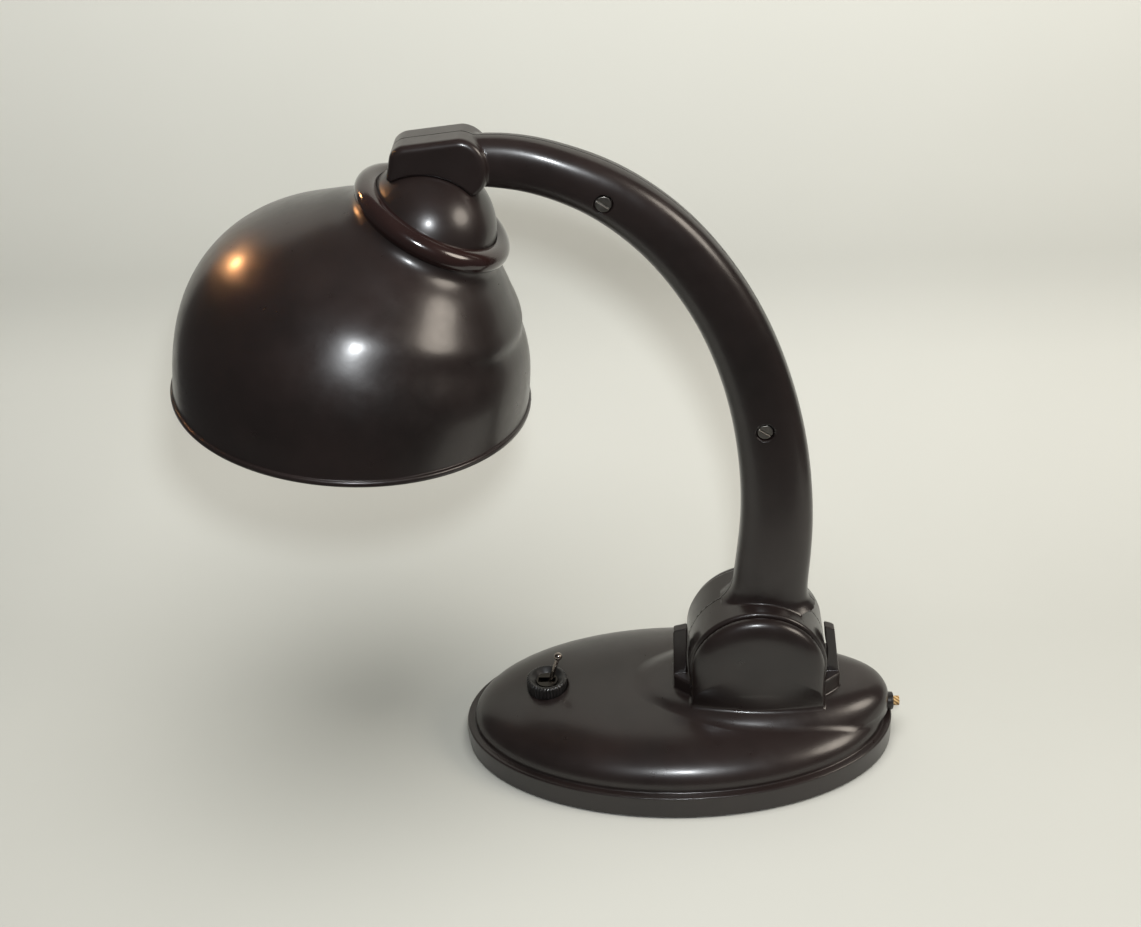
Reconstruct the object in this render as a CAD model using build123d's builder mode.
from build123d import *
import math
import os

os.makedirs("parts", exist_ok=True)

# Articulated moulded desk lamp: an oval base, a curved arm on a drum hinge, and a
# round shade on a ball joint. Millimetres, +Z up.
# Origin: centre of the underside of the oval base. +X points to the cable end of
# the base (the side the arm rises from), the shade hangs over -X, the front is -Y.

# ------------------------------------------------------------ shared dimensions
BASE_HALF_LENGTH, BASE_HALF_WIDTH = 120.0, 71.6
FLANGE_BOTTOM, FLANGE_TOP = 0.5, 14.46
FELT_TOP = 1.0
PLATE_T = 1.2
PLATE_TOP = FELT_TOP + PLATE_T
PLATE_SCREWS = [(-92, 22), (-92, -22), (92, 22), (92, -22)]    # x, y
WEIGHT_SCREWS = [(-34, 0), (40, 0)]                           # x, y
WEIGHT_TOP = 13.0

HINGE_X, HINGE_Z = 43.7, 61.57
HINGE = (HINGE_X, HINGE_Z)
DRUM_R, DRUM_HALF = 37.46, 21.91        # drum at the foot of the arm
POCKET_R, POCKET_HALF = 38.2, 22.9      # pocket in the base that holds it
BOLT_R = 4.0
BOLT_HOLE_R = BOLT_R + 0.05
BOLT_SEAT_Y = 26.4                      # floor of the counterbore, rear cheek
WASHER_T = 0.9
WASHER_Y = BOLT_SEAT_Y + WASHER_T       # rear face of the washer
INSERT_R = 6.0

SWITCH_X = -73.3
SWITCH_BODY_Z, SWITCH_BODY_H = 14.6, 15.0
SWITCH_BODY_TOP = SWITCH_BODY_Z + SWITCH_BODY_H
NUT_R, NUT_Z0, NUT_Z1 = 11.45, 33.0, 40.6

GLAND_Z, GLAND_R, CABLE_R = 19.7, 5.0, 2.7
GLAND_SHOULDER_X = 114.2
CLAMP_Z = 18.1                          # cable centre at the cord clamp

LEAN = 30.6                             # ball axis, degrees from +Z towards +X
BALL_CENTRE = Vector(-113.96, 0, 316.86)
BALL_R, BALL_IN = 33.2, 29.6
NIPPLE_R = 5.0
CUTTER_R = 60                           # discs wide enough to cut right across

ON_FOOT = (Align.CENTER, Align.CENTER, Align.MIN)


# ---------------------------------------------------------------- shared planes
def front_plane(y, at=(0, 0)):
    """XZ plane at y facing -Y (extrusions run to the front), origin at x, z."""
    return Plane(origin=(at[0], y, at[1]), x_dir=(1, 0, 0), z_dir=(0, -1, 0))


def gland_plane(x):
    """YZ plane facing +X, origin on the cable exit axis."""
    return Plane(origin=(x, 0, GLAND_Z), x_dir=(0, 1, 0), z_dir=(1, 0, 0))


def leaning(degrees):
    """Unit vectors along and square to a direction leaning from +Z to +X."""
    angle = math.radians(degrees)
    along = Vector(math.sin(angle), 0, math.cos(angle))
    across = Vector(math.cos(angle), 0, -math.sin(angle))
    return along, across


UP, SIDE = leaning(LEAN)
NECK_AXIS = Axis(BALL_CENTRE, UP)
NECK_PROFILE = Plane(origin=BALL_CENTRE, x_dir=SIDE, z_dir=(0, -1, 0))


def neck_plane(height):
    """Plane square to the ball axis, height above the ball centre."""
    return Plane(origin=BALL_CENTRE + UP * height, x_dir=SIDE, z_dir=UP)


# ================================================================ BASE MOULDING
LEDGE = 4.4                             # flat ledge between flange edge and dome
DOME_HALF_LENGTH = BASE_HALF_LENGTH - LEDGE
DOME_HALF_WIDTH = BASE_HALF_WIDTH - LEDGE
DOME_H = 23.0
SKIN = 3.2
ROUNDNESS = 0.688                       # handle length of the rounded outlines
REBATE, REBATE_TOP = 3.8, 3.0           # recess for the cover plate
# mound under the hinge, reaching further to the right
MOUND_X, MOUND_HALF_WIDTH = 35.0, 43.5
MOUND_LEFT, MOUND_RIGHT = 66.5, 83.0
MOUND_Z, MOUND_H = 24.0, 16.5
# hinge turret
TURRET_Z = 31
CHEEK_R, CHEEK_Y, CHEEK_FLAT, CHEEK_Z = 36.0, 30.4, 17.0, 34
PLINTH_Y, PLINTH_PLAN_R = 29.7, 64.0
PLINTH_HALF, PLINTH_TOP = 45.6, 49.6
CUP_WALL = 3
CUP_HALF = POCKET_HALF + CUP_WALL
POST_FRONT, POST_BACK = -9.6, -4.2
# post outlines left and right of the drum: x from the hinge, z
POSTS = [
    [(-38.6, 46), (-45.5, 46), (-45.3, 78.0), (-44.7, 78.9), (-38.0, 80.6), (-37.4, 80.0),
     (-38.6, 66)],
    [(38.6, 46), (45.3, 46), (45.1, PLINTH_TOP), (41.9, 78.0), (41.3, 78.8), (36.9, 80.4),
     (36.3, 79.8), (38.6, 64)],
]
PILLAR_R, PILLAR_BORE_R, PILLAR_BORE_DEPTH = 4.6, 2.0, 11


def dome(half_length, half_width, foot_z, rise, bottom_z):
    """Oval dome with a soft quarter outline, carried straight down to bottom_z."""
    crown_z = foot_z + rise
    with BuildPart() as body:
        with BuildSketch(Plane.XZ):
            with BuildLine():
                Bezier(
                    (half_length, foot_z), (half_length, foot_z + ROUNDNESS * rise),
                    (ROUNDNESS * half_length, crown_z), (0.0, crown_z),
                )
                Polyline((0, crown_z), (0, bottom_z), (half_length, bottom_z),
                         (half_length, foot_z))
            make_face()
        revolve(axis=Axis.Z)
    return scale(body.part, by=(1, half_width / half_length, 1))


def mound_half(side, reach):
    """Half of the mound on the given side in x (-1 or 1), stretched to its reach."""
    radius, top = MOUND_HALF_WIDTH, MOUND_Z + MOUND_H
    foot = MOUND_Z - 6
    with BuildPart() as body:
        with BuildSketch(Plane.XZ):
            with BuildLine():
                Line((0, top), (0.5 * radius, top))
                Bezier((0.5 * radius, top), (0.86 * radius, top),
                       (radius, MOUND_Z + ROUNDNESS_MOUND * MOUND_H), (radius, MOUND_Z))
                Polyline((0, top), (0, foot), (radius, foot), (radius, MOUND_Z))
            make_face()
        revolve(axis=Axis.Z)
        with Locations((side * 60, 0, 20)):
            Box(120, 200, 200, mode=Mode.INTERSECT)
    return Pos(MOUND_X, 0, 0) * scale(body.part, by=(reach / radius, 1, 1))


ROUNDNESS_MOUND = 0.68


def cheek_rim(side, direction):
    """Rim curve in plan, from the outer flat to the pocket face, towards direction."""
    outer, inner = side * CHEEK_Y, side * POCKET_HALF
    return [
        (HINGE_X + direction * CHEEK_FLAT, outer),
        (HINGE_X + direction * 0.86 * CHEEK_R, outer),
        (HINGE_X + direction * CHEEK_R, inner + 0.72 * (outer - inner)),
        (HINGE_X + direction * CHEEK_R, inner),
    ]


def hinge_cheeks():
    """Front and rear half discs with a pillowed rim, carried straight down."""
    with BuildPart() as cheeks:
        for side in (-1, 1):
            outer, inner = side * CHEEK_Y, side * POCKET_HALF
            left, right = cheek_rim(side, -1), cheek_rim(side, 1)
            with BuildSketch(Plane.XY.offset(HINGE_Z)):
                with BuildLine():
                    Polyline(right[-1], (HINGE_X, inner), (HINGE_X, outer), right[0])
                    Bezier(*right)
                make_face()
            revolve(axis=Axis((HINGE_X, 0, HINGE_Z), (0, -1, 0)), revolution_arc=180)
            with BuildSketch(Plane.XY.offset(CHEEK_Z)):
                with BuildLine():
                    Bezier(*left[::-1])
                    Line(left[0], right[0])
                    Bezier(*right)
                    Line(right[-1], left[-1])
                make_face()
            extrude(amount=HINGE_Z - CHEEK_Z)
    return cheeks.part


def base_shell():
    dome_out = dome(DOME_HALF_LENGTH, DOME_HALF_WIDTH, FLANGE_TOP, DOME_H, FLANGE_TOP - 3)
    # the cavity starts 1 below the flange top
    dome_in = dome(DOME_HALF_LENGTH - SKIN, DOME_HALF_WIDTH - SKIN,
                   FLANGE_TOP - 1, DOME_H - SKIN + 1, REBATE_TOP)
    mound_left = mound_half(-1, MOUND_LEFT)
    mound_right = mound_half(1, MOUND_RIGHT)
    cheeks = hinge_cheeks()

    with BuildPart() as shell:
        with BuildSketch(Plane.XY.offset(FLANGE_BOTTOM)):
            Ellipse(BASE_HALF_LENGTH, BASE_HALF_WIDTH)
        extrude(amount=FLANGE_TOP - FLANGE_BOTTOM)
        fillet(shell.edges().group_by(Axis.Z)[-1], radius=0.9)
        add(dome_out)
        add(mound_left)
        add(mound_right)
        add(dome_in, mode=Mode.SUBTRACT)
        # rebate for the steel cover plate
        with BuildSketch(Plane.XY.offset(FLANGE_BOTTOM)):
            Ellipse(BASE_HALF_LENGTH - REBATE, BASE_HALF_WIDTH - REBATE)
        extrude(amount=REBATE_TOP - FLANGE_BOTTOM, mode=Mode.SUBTRACT)
        # plinth: two crossing arcs in plan, with squared ends
        with BuildSketch(Plane.XY.offset(TURRET_Z)):
            with Locations((HINGE_X, PLINTH_PLAN_R - PLINTH_Y)):
                Circle(PLINTH_PLAN_R)
            with Locations((HINGE_X, PLINTH_Y - PLINTH_PLAN_R)):
                Circle(PLINTH_PLAN_R, mode=Mode.INTERSECT)
            with Locations((HINGE_X, 0)):
                Rectangle(2 * PLINTH_HALF, 80, mode=Mode.INTERSECT)
        extrude(amount=PLINTH_TOP - TURRET_Z)
        add(cheeks)
        # cup that closes the drum pocket underneath, cut off level at z 36
        with BuildSketch(front_plane(-CUP_HALF, at=(HINGE_X, 0))):
            with Locations((0, HINGE_Z)):
                Circle(POCKET_R + CUP_WALL)
            with Locations((0, HINGE_Z - 20)):
                Rectangle(90, 60, mode=Mode.INTERSECT)
            with Locations((0, 68)):
                Rectangle(200, 64, mode=Mode.SUBTRACT)
        extrude(amount=-2 * CUP_HALF)
        # posts beside the drum, thin from front to back
        for outline in POSTS:
            with BuildSketch(front_plane(POST_BACK, at=(HINGE_X, 0))):
                with BuildLine():
                    Polyline(outline, close=True)
                make_face()
            extrude(amount=POST_BACK - POST_FRONT)
        # drum pocket
        with BuildSketch(front_plane(-POCKET_HALF, at=HINGE)):
            Circle(POCKET_R)
        extrude(amount=-2 * POCKET_HALF, mode=Mode.SUBTRACT)
        # rear counterbore, rear bolt hole, blind seat for the front insert:
        # starting y, radius, length towards the front
        for y, radius, length in [
            (40, 7.6, 40 - BOLT_SEAT_Y), (30, BOLT_HOLE_R, 8), (-22, INSERT_R, 5.4),
        ]:
            with BuildSketch(front_plane(y, at=HINGE)):
                Circle(radius)
            extrude(amount=length, mode=Mode.SUBTRACT)
        # cable hole in the pocket floor
        with Locations((HINGE_X + 6, 0, 22)):
            Cylinder(5.0, 16, mode=Mode.SUBTRACT)
        # flat seat, boss and hole for the switch
        with Locations((SWITCH_X, 0, NUT_Z0)):
            Cylinder(NUT_R + 0.3, 12, align=ON_FOOT, mode=Mode.SUBTRACT)
        with Locations((SWITCH_X, 0, SWITCH_BODY_TOP)):
            Cylinder(9.5, NUT_Z0 - SWITCH_BODY_TOP, align=ON_FOOT)
        with Locations((SWITCH_X, 0, 20)):
            Cylinder(6.0, 20, mode=Mode.SUBTRACT, align=ON_FOOT)
        # screw pillars for the cover plate
        with BuildSketch(Plane.XY.offset(PLATE_TOP)):
            with Locations(*PLATE_SCREWS):
                Circle(PILLAR_R)
        extrude(until=Until.NEXT)
        with BuildSketch(Plane.XY.offset(PLATE_TOP)):
            with Locations(*PLATE_SCREWS):
                Circle(PILLAR_BORE_R)
        extrude(amount=PILLAR_BORE_DEPTH, mode=Mode.SUBTRACT)
        # cable exit, wider outside the gland shoulder
        with BuildSketch(gland_plane(104)):
            Circle(4.0)
        extrude(amount=20, mode=Mode.SUBTRACT)
        with BuildSketch(gland_plane(GLAND_SHOULDER_X)):
            Circle(GLAND_R + 0.02)
        extrude(amount=10, mode=Mode.SUBTRACT)
    return shell.part


# =================================================== BASE: UNDERSIDE AND WEIGHT
FELT_MARGIN, FELT_HOLE_R = 7, 4.2
PLATE_MARGIN = 4.0
PLATE_HOLE_R, PLATE_WEIGHT_HOLE_R = 2.2, 2.5
SCREW_Z = 0.15                          # underside of the plate screw heads
WEIGHT_X, WEIGHT_HALF_LENGTH, WEIGHT_HALF_WIDTH = 6, 68, 54
WEIGHT_HOLE_R = 2.6
WEIGHT_SCREW_Z = 1.1


def base_felt():
    with BuildPart() as felt:
        with BuildSketch():
            Ellipse(BASE_HALF_LENGTH - FELT_MARGIN, BASE_HALF_WIDTH - FELT_MARGIN)
            with Locations(*PLATE_SCREWS):
                Circle(FELT_HOLE_R, mode=Mode.SUBTRACT)
        extrude(amount=FELT_TOP)
    return felt.part


def base_plate():
    with BuildPart() as plate:
        with BuildSketch(Plane.XY.offset(FELT_TOP)):
            Ellipse(BASE_HALF_LENGTH - PLATE_MARGIN, BASE_HALF_WIDTH - PLATE_MARGIN)
            with Locations(*PLATE_SCREWS):
                Circle(PLATE_HOLE_R, mode=Mode.SUBTRACT)
            with Locations(*WEIGHT_SCREWS):
                Circle(PLATE_WEIGHT_HOLE_R, mode=Mode.SUBTRACT)
        extrude(amount=PLATE_T)
    return plate.part


def plate_screws():
    with BuildPart() as screws:
        with Locations(*[(x, y, SCREW_Z) for x, y in PLATE_SCREWS]):
            Cylinder(3.4, FELT_TOP - SCREW_Z, align=ON_FOOT)
            Cylinder(1.98, 11.0, align=ON_FOOT)
            Box(7, 0.9, 0.4, align=ON_FOOT, mode=Mode.SUBTRACT)
    return screws.part


def counterweight():
    """Cast weight bolted down on the steel plate."""
    with BuildPart() as weight:
        with BuildSketch(Plane.XY.offset(PLATE_TOP)):
            with Locations((WEIGHT_X, 0)):
                Ellipse(WEIGHT_HALF_LENGTH, WEIGHT_HALF_WIDTH)
        extrude(amount=WEIGHT_TOP - PLATE_TOP)
        fillet(weight.edges().group_by(Axis.Z)[-1], radius=1.5)
        with Locations(*WEIGHT_SCREWS):
            Cylinder(WEIGHT_HOLE_R, 40, mode=Mode.SUBTRACT)
    return weight.part


def weight_screws():
    with BuildPart() as screws:
        with Locations(*WEIGHT_SCREWS):
            with Locations((0, 0, WEIGHT_SCREW_Z)):
                Cylinder(2.45, WEIGHT_TOP - WEIGHT_SCREW_Z, align=ON_FOOT)
            with Locations((0, 0, WEIGHT_TOP)):
                Cylinder(4.5, 3.2, align=ON_FOOT)
            with Locations((0, 0, WEIGHT_TOP + 2.0)):
                Box(10, 1.2, 2, align=ON_FOOT, mode=Mode.SUBTRACT)
    return screws.part


# ================================================================ TOGGLE SWITCH
SWITCH_BUSH_R, SWITCH_BUSH_H = 5.95, 9.0
BUSH_TOP = SWITCH_BODY_TOP + SWITCH_BUSH_H
PIVOT_Z = 31.5
PIVOT = (SWITCH_X, PIVOT_Z)
PIN_R, PIN_HALF = 0.8, 4.8
LEVER_BORE_R = 0.83
LEVER_LEAN = 17.0
NUT_BORE_R = 6.0
KNURLS, KNURL_R = 36, 0.62
# lever half outline: radius, height above the pivot
LEVER_OUTLINE = [
    (0, -7.5), (1.1, -7.0), (1.3, -2.0), (1.9, 0), (1.7, 3), (1.25, 8), (1.2, 24.4), (0, 24.4),
]
LEVER_BALL_R, LEVER_BALL_H = 2.35, 24.65
TERMINAL_OFFSET, TERMINAL_Z = 7, 8.6


def switch_body():
    with BuildPart() as body:
        with Locations((SWITCH_X, 0, SWITCH_BODY_Z)):
            Box(19, 15, SWITCH_BODY_H, align=ON_FOOT)
        chamfer(body.edges().group_by(Axis.Z)[-1], length=1.2)
        # lever chamber, open at the top
        with BuildSketch(front_plane(3.2, at=(SWITCH_X, 0))):
            with BuildLine():
                Polyline((-8, SWITCH_BODY_TOP), (-8, 24), (-5, 19), (5, 19), (8, 24),
                         (8, SWITCH_BODY_TOP), close=True)
            make_face()
        extrude(amount=6.4, mode=Mode.SUBTRACT)
    return body.part


def switch_bush():
    with BuildPart() as bush:
        with Locations((SWITCH_X, 0, SWITCH_BODY_TOP)):
            Cylinder(SWITCH_BUSH_R, SWITCH_BUSH_H, align=ON_FOOT)
        # waisted slot for the lever
        with BuildSketch(front_plane(2.0, at=(SWITCH_X, 0))):
            with BuildLine():
                Polyline((-3.6, SWITCH_BODY_TOP), (3.6, SWITCH_BODY_TOP), (2.2, PIVOT_Z),
                         (4.9, BUSH_TOP), (-4.9, BUSH_TOP), (-2.2, PIVOT_Z), close=True)
            make_face()
        extrude(amount=4.0, mode=Mode.SUBTRACT)
        # cross bore for the pivot pin
        with BuildSketch(front_plane(5, at=PIVOT)):
            Circle(PIN_R)
        extrude(amount=10, mode=Mode.SUBTRACT)
    return bush.part


def switch_pin():
    with BuildPart() as pin:
        with BuildSketch(front_plane(PIN_HALF, at=PIVOT)):
            Circle(PIN_R)
        extrude(amount=2 * PIN_HALF)
    return pin.part


def switch_nut():
    """Knurled ring nut with a dished top."""
    with BuildPart() as nut:
        with BuildSketch(front_plane(0, at=(SWITCH_X, 0))):
            with BuildLine():
                Polyline(
                    (NUT_BORE_R, NUT_Z0), (NUT_R, NUT_Z0), (NUT_R, NUT_Z1 - 1.0),
                    (NUT_R - 1.0, NUT_Z1), (NUT_R - 2.2, NUT_Z1), (NUT_BORE_R, NUT_Z1 - 2.6),
                    close=True,
                )
            make_face()
        revolve(axis=Axis((SWITCH_X, 0, 0), (0, 0, 1)))
        knurl_ring_r = NUT_R + 0.25
        with BuildSketch(Plane.XY.offset(NUT_Z0)):
            for k in range(KNURLS):
                angle = 2 * math.pi * k / KNURLS
                with Locations((SWITCH_X + knurl_ring_r * math.cos(angle),
                                knurl_ring_r * math.sin(angle))):
                    Circle(KNURL_R)
        extrude(amount=NUT_Z1 - NUT_Z0, mode=Mode.SUBTRACT)
    return nut.part


def switch_lever():
    """Tapered stem with a ball end above the pivot and a tail below it."""
    pivot = Vector(SWITCH_X, 0, PIVOT_Z)
    along, across = leaning(LEVER_LEAN)
    with BuildPart() as lever:
        with BuildSketch(Plane(origin=pivot, x_dir=across, z_dir=(0, -1, 0))):
            with BuildLine():
                Polyline(*LEVER_OUTLINE, close=True)
            make_face()
        revolve(axis=Axis(pivot, along))
        with Locations(pivot + along * LEVER_BALL_H):
            Sphere(LEVER_BALL_R)
        with BuildSketch(front_plane(5, at=PIVOT)):
            Circle(LEVER_BORE_R)
        extrude(amount=10, mode=Mode.SUBTRACT)
    return lever.part


def switch_terminals():
    sides = (SWITCH_X - TERMINAL_OFFSET, SWITCH_X + TERMINAL_OFFSET)
    with BuildPart() as terminals:
        with Locations(*[(x, 0, TERMINAL_Z) for x in sides]):
            Box(2.0, 6, 6.0, align=ON_FOOT)
        with Locations(*[(x, 0, TERMINAL_Z + 2.0) for x in sides]):
            Cylinder(0.9, 8, rotation=(0, 90, 0), mode=Mode.SUBTRACT)
    return terminals.part


# ======================================================= CABLE ENTRY AND WIRING
FLEX_END_X, FLEX_BEND_X, FLEX_LEVEL_X, FLEX_INNER_X = 124.2, 107.4, 95.6, 86
CLAMP_X, CLAMP_LENGTH = 88, 7
BLOCK_X = -46.0                         # terminal block centre
BLOCK_WAYS = (-6, 6)                    # y of its two ways
WIRE_R = 1.1
# single cores, each starting towards -X: points x, y, z and the end direction
CORES = [
    # cable to block, front and rear
    ([(85.9, -1.3, 18.1), (64, -31, 17.4), (14, -36, 17.5), (-26, -12, 18.0),
      (-43.0, -6, 18.0)], (-1, 0, 0)),
    ([(85.9, 1.3, 18.1), (64, 31, 17.4), (14, 36, 17.5), (-26, 12, 18.0),
      (-43.0, 6, 18.0)], (-1, 0, 0)),
    # block to the two switch terminals
    ([(-49.0, -6, 18.0), (-56, -6.6, 17.6), (-62.5, -10, 15.0), (-68.5, -13, 12.2),
      (-75.5, -13.2, 11.0), (-79.6, -9, 10.8), (-80.3, -3.05, 10.8)], (0, 1, 0)),
    ([(-49.0, 6, 18.0), (-57.5, 7.2, 17.4), (-62.8, 10.6, 14.4), (-66.3, 3.05, 10.8)],
     (0, -1, 0)),
]


def cable_gland():
    with BuildPart() as gland:
        with BuildSketch(gland_plane(108.0)):
            Circle(3.9)
        extrude(amount=6.2)
        with BuildSketch(gland_plane(GLAND_SHOULDER_X)):
            Circle(GLAND_R)
        extrude(amount=6.6)
        fillet(gland.edges().group_by(Axis.X)[-1], radius=1.2)
        with BuildSketch(gland_plane(100)):
            Circle(CABLE_R)
        extrude(amount=30, mode=Mode.SUBTRACT)
    return gland.part


def mains_flex():
    outer_end = (FLEX_END_X, 0, GLAND_Z)
    bend_start = (FLEX_BEND_X, 0, GLAND_Z)
    bend_end = (FLEX_LEVEL_X, 0, CLAMP_Z)
    with BuildPart() as flex:
        with BuildLine() as path:
            Line(outer_end, bend_start)
            Spline(bend_start, bend_end, tangents=[(-1, 0, 0), (-1, 0, 0)])
            Line(bend_end, (FLEX_INNER_X, 0, CLAMP_Z))
        with BuildSketch(Plane(origin=outer_end, z_dir=(-1, 0, 0))):
            Circle(CABLE_R - 0.02)
        sweep(path=path.wires()[0])
    return flex.part


def cord_clamp():
    """Loop round the cable on a stalk with a foot."""
    with BuildPart() as clamp:
        with BuildSketch(Plane.YZ.offset(CLAMP_X)):
            with Locations((0, CLAMP_Z)):
                Circle(CABLE_R + 1.5)
            with Locations((0, 9.0)):
                Rectangle(6, 12.6)
            with Locations((0, CLAMP_Z)):
                Circle(CABLE_R + 0.25, mode=Mode.SUBTRACT)
            with Locations((4.0, 3.0)):
                Rectangle(14, 1.6)
        extrude(amount=CLAMP_LENGTH)
    return clamp.part


def block_ways(height):
    """Points on the two ways of the block, height above the counterweight."""
    return [(BLOCK_X, y, WEIGHT_TOP + height) for y in BLOCK_WAYS]


def terminal_block():
    with BuildPart() as block:
        with Locations((BLOCK_X, 0, WEIGHT_TOP)):
            Box(12, 22, 9.5, align=ON_FOOT)
        fillet(block.edges().group_by(Axis.Z)[-1], radius=0.8)
        with Locations(*block_ways(5)):
            Cylinder(1.9, 20, rotation=(0, 90, 0), mode=Mode.SUBTRACT)
        with Locations(*block_ways(5)):
            Cylinder(1.6, 8, align=ON_FOOT, mode=Mode.SUBTRACT)
    return block.part


def terminal_screws():
    with BuildPart() as screws:
        with Locations(*block_ways(6.6)):
            Cylinder(1.55, 3.4, align=ON_FOOT)
        with Locations(*block_ways(9.2)):
            Box(4, 0.6, 2, align=ON_FOOT, mode=Mode.SUBTRACT)
    return screws.part


def base_wires():
    with BuildPart() as wires:
        for points, end_direction in CORES:
            with BuildLine() as core:
                Spline(*points, tangents=[(-1, 0, 0), end_direction])
            path = core.wires()[0]
            with BuildSketch(Plane(origin=path @ 0, z_dir=path % 0)):
                Circle(WIRE_R)
            sweep(path=path)
    return wires.part


# =============================================================== HINGE HARDWARE
BOLT_HEAD_R, BOLT_HEAD_T = 6.6, 2.5
BOLT_END_Y = -26.6
WASHER_R = 7.2
INSERT_LENGTH = 4.4
FRICTION_DISC_R = 20


def pivot_bolt():
    """Bolt entered from the rear, with a slotted head."""
    with BuildPart() as bolt:
        with BuildSketch(front_plane(WASHER_Y + BOLT_HEAD_T, at=HINGE)):
            Circle(BOLT_HEAD_R)
        extrude(amount=BOLT_HEAD_T)
        fillet(bolt.edges().group_by(Axis.Y)[-1], radius=0.8)
        with BuildSketch(front_plane(WASHER_Y, at=HINGE)):
            Circle(BOLT_R)
        extrude(amount=WASHER_Y - BOLT_END_Y)
        with BuildSketch(front_plane(31, at=HINGE)):
            Rectangle(14, 1.4)
        extrude(amount=2.4, mode=Mode.SUBTRACT)
    return bolt.part


def pivot_washer():
    """Washer split on its +X side."""
    with BuildPart() as washer:
        with BuildSketch(front_plane(WASHER_Y, at=HINGE)):
            Circle(WASHER_R)
            Circle(BOLT_HOLE_R, mode=Mode.SUBTRACT)
            with Locations((6, 0)):
                Rectangle(6, 0.8, mode=Mode.SUBTRACT)
        extrude(amount=WASHER_T)
    return washer.part


def pivot_insert():
    with BuildPart() as insert:
        with BuildSketch(front_plane(-POCKET_HALF, at=HINGE)):
            Circle(INSERT_R)
            Circle(BOLT_R, mode=Mode.SUBTRACT)
        extrude(amount=INSERT_LENGTH)
    return insert.part


def friction_discs():
    """Discs filling the gaps between the drum and the two pocket faces."""
    with BuildPart() as discs:
        for y in (-DRUM_HALF, POCKET_HALF):
            with BuildSketch(front_plane(y, at=HINGE)):
                Circle(FRICTION_DISC_R)
                Circle(BOLT_HOLE_R, mode=Mode.SUBTRACT)
            extrude(amount=POCKET_HALF - DRUM_HALF)
    return discs.part


# ========================================================================== ARM
# stations from the ball down to the drum:
# centre line x, z, half width in the side view, half thickness across
ARM = [
    (-96.0, 350.6, 11.8, 9.4), (-84.0, 350.4, 12.4, 9.4), (-72.0, 349.2, 12.8, 9.8),
    (-60.0, 346.6, 12.9, 10.5), (-49.8, 343.2, 13.0, 11.1), (-30.5, 334.2, 13.6, 11.6),
    (-13.4, 322.1, 14.3, 11.6), (1.7, 307.5, 14.9, 11.6), (14.8, 290.6, 15.4, 11.7),
    (26.1, 271.8, 15.8, 11.8), (35.4, 251.5, 16.3, 11.9), (42.7, 230.1, 16.8, 12.0),
    (48.1, 208.1, 17.4, 12.1), (51.7, 185.8, 18.0, 12.2), (53.6, 163.3, 18.5, 12.3),
    (53.8, 141.1, 19.1, 12.4), (52.4, 119.3, 19.7, 12.5), (51.4, 108.0, 20.0, 12.6),
    (50.8, 101.5, 20.6, 13.0), (50.3, 96.5, 22.4, 14.4), (50.0, 92.5, 25.6, 16.8),
]
ARM_SQUARENESS = 2.5                    # superellipse exponent of the sections
OVAL_POINTS = 20
ARM_WALL = 4.4
HOLLOW_HALF = 7.2                       # half thickness of the hollow, across
HOLLOW_WIDEST = 20                      # the hollow ignores the flare at the foot
BLOCK_HALF = 12.2                       # half thickness of the end block
ARM_SCREWS = [(-29.2, 330.9), (46.9, 205.0)]                  # x, z
ARM_SCREW_R, ARM_INSERT_R = 2.0, 3.0
HEAD_SEAT_Y = -9.6                      # screw heads sit here, front half
NIPPLE_LOW, NIPPLE_HIGH = 19.0, 40.8    # heights above the ball centre

FLEX_R = 2.3
FLEX_NIPPLE_HEIGHTS = (24, 36, 41.0)    # on the ball axis, above its centre
FLEX_BEND = [(-91.4, 354.4), (-87.8, 355.2), (-82.5, 353.4)]  # x, z
# arm station index, distance from the centre line to the outer side
FLEX_OFFSETS = [
    (2, 2.0), (3, 2.5), (4, 3.8), (5, 6.2), (6, 5.4), (7, 1.0), (9, 0), (10, 1.0), (11, 5.0),
    (12, 10.2), (13, 7), (14, 2), (15, 0), (17, 0),
]
FLEX_DRUM = [(55.0, 92), (63.5, 78), (65.0, 60), (58.5, 44), (52.5, 36)]    # x, z


def arm_plane(i):
    """Plane square to the arm at station i, x towards its outer (convex) side."""
    x, z = ARM[i][:2]
    before = ARM[max(i - 1, 0)]
    after = ARM[min(i + 1, len(ARM) - 1)]
    along = Vector(after[0] - before[0], 0, after[1] - before[1]).normalized()
    outward = Vector(-along.Z, 0, along.X)
    return Plane(origin=(x, 0, z), x_dir=outward, z_dir=along)


def oval_points(half_width, half_thickness):
    """Points round a superellipse."""
    power = 2 / ARM_SQUARENESS
    points = []
    for i in range(OVAL_POINTS):
        angle = 2 * math.pi * i / OVAL_POINTS
        c, s = math.cos(angle), math.sin(angle)
        points.append((half_width * math.copysign(abs(c) ** power, c),
                       half_thickness * math.copysign(abs(s) ** power, s)))
    return points


def arm_outside():
    with BuildPart() as outside:
        for i, (_, _, half_width, half_thickness) in enumerate(ARM):
            with BuildSketch(arm_plane(i)):
                with BuildLine():
                    Spline(*oval_points(half_width, half_thickness), periodic=True)
                make_face()
        loft()
    return outside.part


def arm_hollow():
    """Passage for the flex, from station 1 into the drum."""
    with BuildPart() as hollow:
        for i in range(1, len(ARM)):
            with BuildSketch(arm_plane(i)):
                Ellipse(min(ARM[i][2], HOLLOW_WIDEST) - ARM_WALL, HOLLOW_HALF)
        with BuildSketch(Plane(origin=(49.6, 0, 84.0), x_dir=(1, 0, 0), z_dir=(0, 0, -1))):
            Ellipse(15.0, HOLLOW_HALF)
        loft()
        # bend pocket over the nipple
        with BuildSketch(front_plane(6.5, at=(-89.5, 352.8))):
            Circle(7.2)
        extrude(amount=13)
    return hollow.part


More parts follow.
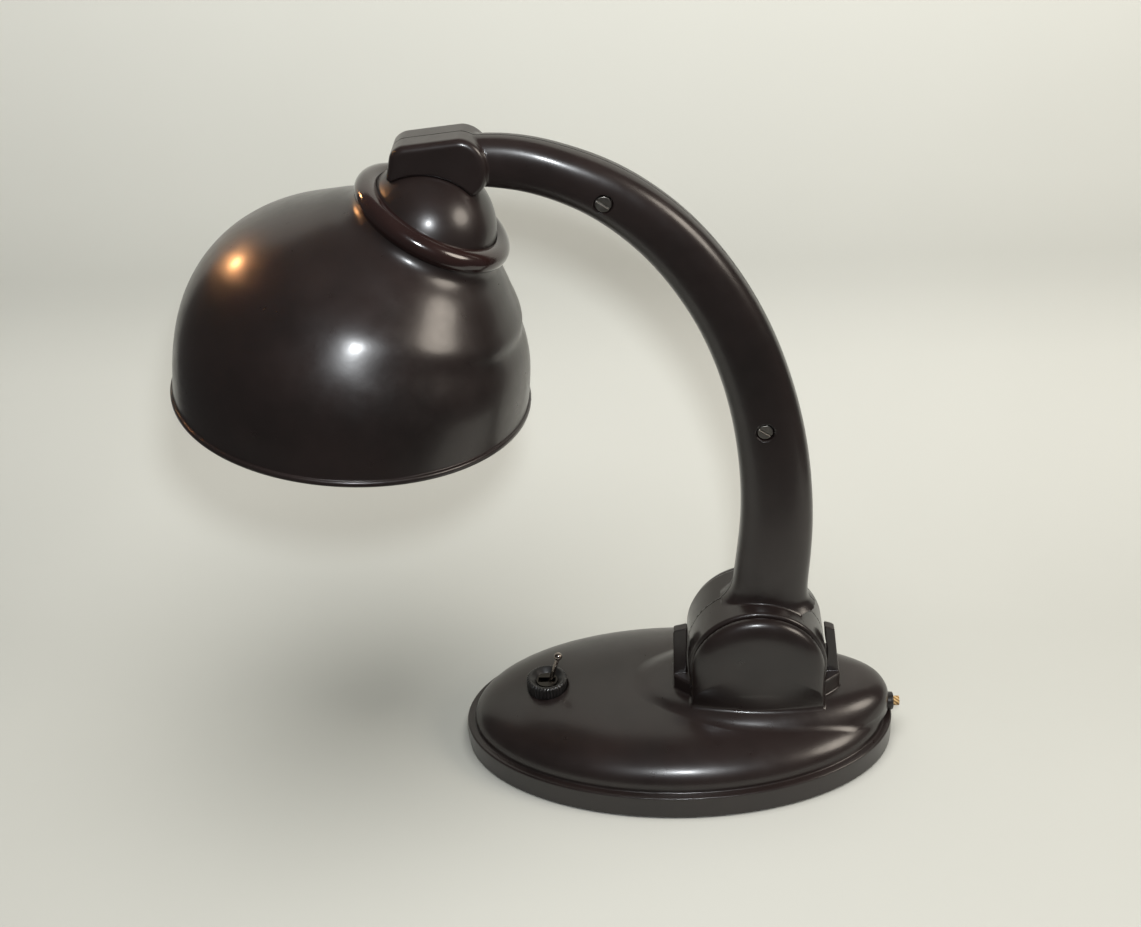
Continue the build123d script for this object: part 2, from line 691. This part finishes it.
def end_block():
    """Block over the ball, drawn from the side."""
    with BuildPart() as block:
        with BuildSketch(front_plane(BLOCK_HALF)):
            with BuildLine():
                Polyline((-129.4, 346.0), (-127.3, 355.0))
                Spline((-127.3, 355.0), (-125.4, 359.6), (-120.0, 362.5),
                       tangents=[(0.23, 0.97), (0.99, 0.13)])
                Line((-120.0, 362.5), (-95.0, 364.9))
                Spline((-95.0, 364.9), (-85.6, 360.8), (-81.6, 350.6), (-84.0, 340.6),
                       (-90.5, 335.0), tangents=[(0.99, 0.1), (-0.85, -0.5)])
                Polyline((-90.5, 335.0), (-104.0, 326.0), (-120.0, 330.0), (-129.4, 346.0))
            make_face()
        extrude(amount=2 * BLOCK_HALF)
        # side face edges, except those the ball seat cuts away
        side_edges = [
            e for e in block.edges()
            if abs(abs(e.center().Y) - BLOCK_HALF) < 0.01 and e.center().Z > 337
        ]
        fillet(side_edges, radius=3.0)
    return block.part


def whole_arm():
    """Both halves of the arm in one."""
    outside, block, hollow = arm_outside(), end_block(), arm_hollow()
    with BuildPart() as arm:
        add(outside)
        add(block)
        with BuildSketch(front_plane(DRUM_HALF, at=HINGE)):
            Circle(DRUM_R)
        extrude(amount=2 * DRUM_HALF)
        rims = [
            e for e in arm.edges().filter_by(GeomType.CIRCLE)
            if abs(abs(e.center().Y) - DRUM_HALF) < 0.05 and e.radius > DRUM_R - 0.1
        ]
        fillet(rims, radius=1.8)
        # seat on the ball
        with Locations(BALL_CENTRE):
            Sphere(BALL_R, mode=Mode.SUBTRACT)
        add(hollow, mode=Mode.SUBTRACT)
        # drum cavity with a hub left round the axle
        with BuildSketch(front_plane(17.5, at=HINGE)):
            Circle(31.5)
            Circle(11, mode=Mode.SUBTRACT)
        extrude(amount=35, mode=Mode.SUBTRACT)
        with BuildSketch(front_plane(30, at=HINGE)):
            Circle(BOLT_HOLE_R)
        extrude(amount=60, mode=Mode.SUBTRACT)
        # slot in the drum floor where the flex leaves
        with BuildSketch(front_plane(7, at=HINGE)):
            with BuildLine():
                Polyline((-9, -29), (23, -24), (27, -45), (-12, -45), close=True)
            make_face()
        extrude(amount=14, mode=Mode.SUBTRACT)
        # screw pillars inside the hollow
        for place in ARM_SCREWS:
            with BuildSketch(front_plane(8.5, at=place)):
                Circle(5.4)
            extrude(amount=17)
        # insert seat, clearance hole and head counterbore:
        # starting y, radius, length towards the front
        for place in ARM_SCREWS:
            for y, radius, length in [
                (6.0, ARM_INSERT_R, 6.0), (0, ARM_SCREW_R + 0.1, 20), (HEAD_SEAT_Y, 4.6, 10),
            ]:
                with BuildSketch(front_plane(y, at=place)):
                    Circle(radius)
                extrude(amount=length, mode=Mode.SUBTRACT)
        # nipple hole and nut pocket in the block
        with BuildSketch(neck_plane(30)):
            Circle(NIPPLE_R)
        extrude(amount=12, mode=Mode.SUBTRACT)
        with BuildSketch(neck_plane(35.2)):
            Circle(8.2)
        extrude(amount=4.2, mode=Mode.SUBTRACT)
    return arm.part


def arm_half(arm, side):
    """The part of the arm on one side in y: -1 front, 1 rear."""
    with BuildPart() as half:
        add(arm)
        with Locations((-30, side * 50, 220)):
            Box(400, 100, 500, mode=Mode.INTERSECT)
    return half.part


def arm_screws():
    """Machine screws from the front half into the inserts of the rear half."""
    with BuildPart() as screws:
        for place in ARM_SCREWS:
            with BuildSketch(front_plane(HEAD_SEAT_Y, at=place)):
                Circle(3.9)
            extrude(amount=1.6)
            with BuildSketch(front_plane(5.0, at=place)):
                Circle(ARM_SCREW_R)
            extrude(amount=14.7)
            with BuildSketch(front_plane(-10.5, at=place)):
                Rectangle(9, 1.0, rotation=35)
            extrude(amount=2, mode=Mode.SUBTRACT)
    return screws.part


def arm_inserts():
    with BuildPart() as inserts:
        for place in ARM_SCREWS:
            with BuildSketch(front_plane(5.8, at=place)):
                Circle(ARM_INSERT_R)
                Circle(ARM_SCREW_R, mode=Mode.SUBTRACT)
            extrude(amount=5.4)
    return inserts.part


def flex_points():
    """Course of the flex from the nipple, along the arm, round the drum hub."""
    on_axis = [BALL_CENTRE + UP * height for height in FLEX_NIPPLE_HEIGHTS]
    in_arm = []
    for i, distance in FLEX_OFFSETS:
        plane = arm_plane(i)
        in_arm.append(plane.origin + plane.x_dir * distance)
    return [
        *[(p.X, 0, p.Z) for p in on_axis],
        *[(x, 0, z) for x, z in FLEX_BEND],
        *[(p.X, 0, p.Z) for p in in_arm],
        *[(x, 0, z) for x, z in FLEX_DRUM],
    ]


def arm_flex():
    with BuildPart() as flex:
        with BuildLine() as course:
            Spline(*flex_points(), tangents=[(UP.X, 0, UP.Z), (-0.5, 0, -0.86)])
        path = course.wires()[0]
        with BuildSketch(Plane(origin=path @ 0, z_dir=path % 0)):
            Circle(FLEX_R)
        sweep(path=path)
    return flex.part


# ========================================== BALL JOINT, LAMPHOLDER AND BULB
# heights here are along the ball axis, from the ball centre
BALL_CUT = -25.0                        # open mouth of the ball
PIPE_BORE_R = 3.4
NUT_HEX_R, NUT_T = 7.9, 3.8             # nipple nuts, radius over the corners
NUT_HEIGHTS = (35.4, 24.4)
HOLDER_R, HOLDER_LOW, HOLDER_HIGH = 13.6, -37, 18
# lampholder bores: from height, radius, length upwards
HOLDER_BORES = [(HOLDER_LOW, 11.4, 24), (-8, 9.5, 20), (5, NIPPLE_R, 30)]
PLUNGERS = [(0, 5.5), (0, -5.5)]
COLLAR_R, COLLAR_LOW, COLLAR_H = 17.0, -36, 6.5
GRIPS, GRIP_R = 24, 0.9
CAP_LOW = -43
SEAT_R, SEAT_T = 33.25, 0.7             # bore and thickness of the ball seat rings
# bulb profile curves: radius, height
GLASS_OUTER = [(10.35, -44), (14.5, -50.5), (21.3, -60), (22.5, -68.5), (17.9, -82), (0, -91.0)]
GLASS_INNER = [(0, -90.0), (17.1, -81.3), (21.5, -68.5), (20.4, -60.4), (13.6, -51), (9.4, -44)]


def ball_housing():
    with BuildPart() as housing:
        with Locations(BALL_CENTRE):
            Sphere(BALL_R)
            Sphere(BALL_IN, mode=Mode.SUBTRACT)
        with BuildSketch(neck_plane(BALL_CUT)):
            Circle(CUTTER_R)
        extrude(amount=-40, mode=Mode.SUBTRACT)
        with BuildSketch(neck_plane(20)):
            Circle(NIPPLE_R)
        extrude(amount=20, mode=Mode.SUBTRACT)
    return housing.part


def ball_nipple():
    with BuildPart() as nipple:
        with BuildSketch(neck_plane(NIPPLE_LOW)):
            Circle(NIPPLE_R)
            Circle(PIPE_BORE_R, mode=Mode.SUBTRACT)
        extrude(amount=NIPPLE_HIGH - NIPPLE_LOW)
    return nipple.part


def nipple_nuts():
    with BuildPart() as nuts:
        for height in NUT_HEIGHTS:
            with BuildSketch(neck_plane(height)):
                RegularPolygon(NUT_HEX_R, 6)
                Circle(NIPPLE_R, mode=Mode.SUBTRACT)
            extrude(amount=NUT_T)
    return nuts.part


def lampholder():
    """Barrel with a tapered cap on the nipple."""
    with BuildPart() as holder:
        with BuildSketch(neck_plane(HOLDER_LOW)):
            Circle(HOLDER_R)
        extrude(amount=HOLDER_HIGH - HOLDER_LOW)
        with BuildSketch(neck_plane(HOLDER_HIGH)):
            Circle(HOLDER_R)
        extrude(amount=5.6, taper=48)
        for height, radius, length in HOLDER_BORES:
            with BuildSketch(neck_plane(height)):
                Circle(radius)
            extrude(amount=length, mode=Mode.SUBTRACT)
        with BuildSketch(neck_plane(-20)):
            with Locations(*PLUNGERS):
                Circle(2.1)
        extrude(amount=20, mode=Mode.SUBTRACT)
    return holder.part


def holder_plungers():
    with BuildPart() as plungers:
        with BuildSketch(neck_plane(-17.9)):
            with Locations(*PLUNGERS):
                Circle(1.95)
        extrude(amount=16)
    return plungers.part


def holder_collar():
    """Grooved collar round the mouth of the lampholder."""
    groove_ring_r = COLLAR_R + 0.3
    with BuildPart() as collar:
        with BuildSketch(neck_plane(COLLAR_LOW)):
            Circle(COLLAR_R)
            Circle(HOLDER_R + 0.05, mode=Mode.SUBTRACT)
        extrude(amount=COLLAR_H)
        with BuildSketch(neck_plane(COLLAR_LOW)):
            for k in range(GRIPS):
                angle = 2 * math.pi * k / GRIPS
                with Locations((groove_ring_r * math.cos(angle),
                                groove_ring_r * math.sin(angle))):
                    Circle(GRIP_R)
        extrude(amount=COLLAR_H, mode=Mode.SUBTRACT)
    return collar.part


def bulb_cap():
    with BuildPart() as cap:
        with BuildSketch(neck_plane(CAP_LOW)):
            Circle(11.1)
        extrude(amount=24.6)
        fillet(cap.edges().filter_by(GeomType.CIRCLE).sort_by(Axis.Z)[-1], radius=1.2)
        with BuildSketch(neck_plane(CAP_LOW)):
            Circle(10.4)
        extrude(amount=21, mode=Mode.SUBTRACT)
    return cap.part


def bulb_glass():
    """Thin round bulb with a straight neck inside the cap."""
    with BuildPart() as glass:
        with BuildSketch(NECK_PROFILE):
            with BuildLine():
                Polyline((9.4, -40), (9.4, -23), (10.35, -23), GLASS_OUTER[0])
                Spline(*GLASS_OUTER, tangents=[(0, -1), (-1, 0)])
                Line(GLASS_OUTER[-1], GLASS_INNER[0])
                Spline(*GLASS_INNER, tangents=[(1, 0), (0, 1)])
                Line(GLASS_INNER[-1], (9.4, -40))
            make_face()
        revolve(axis=NECK_AXIS)
    return glass.part


def seat_ring(low, high):
    """Thin ring hugging the ball between two heights."""
    with BuildPart() as ring:
        with Locations(BALL_CENTRE):
            Sphere(SEAT_R + SEAT_T)
            Sphere(SEAT_R, mode=Mode.SUBTRACT)
        with BuildSketch(neck_plane(high)):
            Circle(CUTTER_R)
        extrude(amount=80, mode=Mode.SUBTRACT)
        with BuildSketch(neck_plane(low)):
            Circle(CUTTER_R)
        extrude(amount=-80, mode=Mode.SUBTRACT)
    return ring.part


# ======================================================================== SHADE
# sections from the neck to the rim: centre x, z, outer radius, lean in degrees
SHADE = [
    (-111.4, 321.2, 37.0, 30.6), (-114.6, 315.8, 38.4, 30.4), (-118.4, 310.3, 45.6, 30.0),
    (-123.6, 304.2, 54.8, 29.0), (-128.4, 299.6, 62.0, 27.7), (-134.9, 294.4, 69.3, 25.2),
    (-143.0, 287.6, 75.6, 21.4), (-149.9, 276.2, 82.4, 16.9), (-154.5, 261.7, 87.0, 13.2),
    (-157.4, 248.1, 88.6, 10.6), (-160.16, 230.5, 89.0, 7.84),
]
RIM = len(SHADE) - 1
RIM_R = SHADE[RIM][2]
SHADE_WALL = 2.6
NECK_WALLS = (2.7, 4.2)                 # wall at the first two sections
LIP = 1.2                               # lip outside the rim radius
RING_UP, RING_R, RING_TUBE = 6.2, 34.3, 5.8
NECK_TOP = RING_UP - 1.3                # height above the ball centre


def shade_plane(i):
    x, z, _, lean = SHADE[i]
    along, across = leaning(lean)
    return Plane(origin=(x, 0, z), x_dir=across, z_dir=along)


def shade_outside():
    with BuildPart() as outside:
        for i in range(len(SHADE)):
            with BuildSketch(shade_plane(i)):
                Circle(SHADE[i][2])
        loft()
    return outside.part


def shade_inside():
    """Cavity: the sections over the curved shoulder also drop by the wall."""
    with BuildPart() as inside:
        for i in range(len(SHADE)):
            wall = NECK_WALLS[i] if i < len(NECK_WALLS) else SHADE_WALL
            drop = SHADE_WALL if 2 <= i <= 8 else 0
            with BuildSketch(shade_plane(i).offset(-drop)):
                Circle(SHADE[i][2] - wall)
        loft()
    return inside.part


def collar_ring(outside):
    """Glossy ring that sits on the shade neck and clears the ball."""
    with BuildPart() as ring:
        with BuildSketch(NECK_PROFILE):
            with Locations((RING_R, RING_UP)):
                Circle(RING_TUBE)
        revolve(axis=NECK_AXIS)
        with Locations(BALL_CENTRE):
            Sphere(SEAT_R + 0.15, mode=Mode.SUBTRACT)
        # socket for the shade neck
        add(outside, mode=Mode.SUBTRACT)
    return ring.part


def shade(outside):
    inside = shade_inside()
    with BuildPart() as body:
        add(outside)
        # rolled lip at the rim
        with BuildSketch(shade_plane(RIM).offset(-0.9)):
            Circle(RIM_R + LIP)
        extrude(amount=3.0)
        lip_edges = [e for e in body.edges().filter_by(GeomType.CIRCLE) if e.radius > RIM_R + 1]
        fillet(lip_edges, radius=0.8)
        add(inside, mode=Mode.SUBTRACT)
        # open the mouth through the lip
        with BuildSketch(shade_plane(RIM).offset(-3)):
            Circle(RIM_R - SHADE_WALL)
        extrude(amount=3.2, mode=Mode.SUBTRACT)
        # bore the neck and trim its top
        with BuildSketch(neck_plane(NECK_TOP)):
            Circle(34.4)
        extrude(amount=-12, mode=Mode.SUBTRACT)
        with BuildSketch(neck_plane(NECK_TOP)):
            Circle(CUTTER_R)
        extrude(amount=20, mode=Mode.SUBTRACT)
    return body.part


# ======================================================================= EXPORT
arm = whole_arm()
shade_solid = shade_outside()
pieces = {
    "base_shell": base_shell(),
    "base_felt": base_felt(),
    "base_plate": base_plate(),
    "plate_screws": plate_screws(),
    "counterweight": counterweight(),
    "weight_screws": weight_screws(),
    "switch_body": switch_body(),
    "switch_bush": switch_bush(),
    "switch_pin": switch_pin(),
    "switch_nut": switch_nut(),
    "switch_lever": switch_lever(),
    "switch_terminals": switch_terminals(),
    "cable_gland": cable_gland(),
    "mains_flex": mains_flex(),
    "cord_clamp": cord_clamp(),
    "terminal_block": terminal_block(),
    "terminal_screws": terminal_screws(),
    "base_wires": base_wires(),
    "pivot_bolt": pivot_bolt(),
    "pivot_washer": pivot_washer(),
    "pivot_insert": pivot_insert(),
    "friction_discs": friction_discs(),
    "arm_half_front": arm_half(arm, -1),
    "arm_half_rear": arm_half(arm, 1),
    "arm_screws": arm_screws(),
    "arm_inserts": arm_inserts(),
    "arm_flex": arm_flex(),
    "ball_housing": ball_housing(),
    "ball_nipple": ball_nipple(),
    "nipple_nuts": nipple_nuts(),
    "lampholder": lampholder(),
    "holder_plungers": holder_plungers(),
    "holder_collar": holder_collar(),
    "bulb_cap": bulb_cap(),
    "bulb_glass": bulb_glass(),
    "friction_ring": seat_ring(low=-6.5, high=-2.4),
    "spring_ring": seat_ring(low=-2.2, high=0.2),
    "collar_ring": collar_ring(shade_solid),
    "shade": shade(shade_solid),
}
for name, part in pieces.items():
    part.label = name
    export_step(part, f"parts/{name}.step")
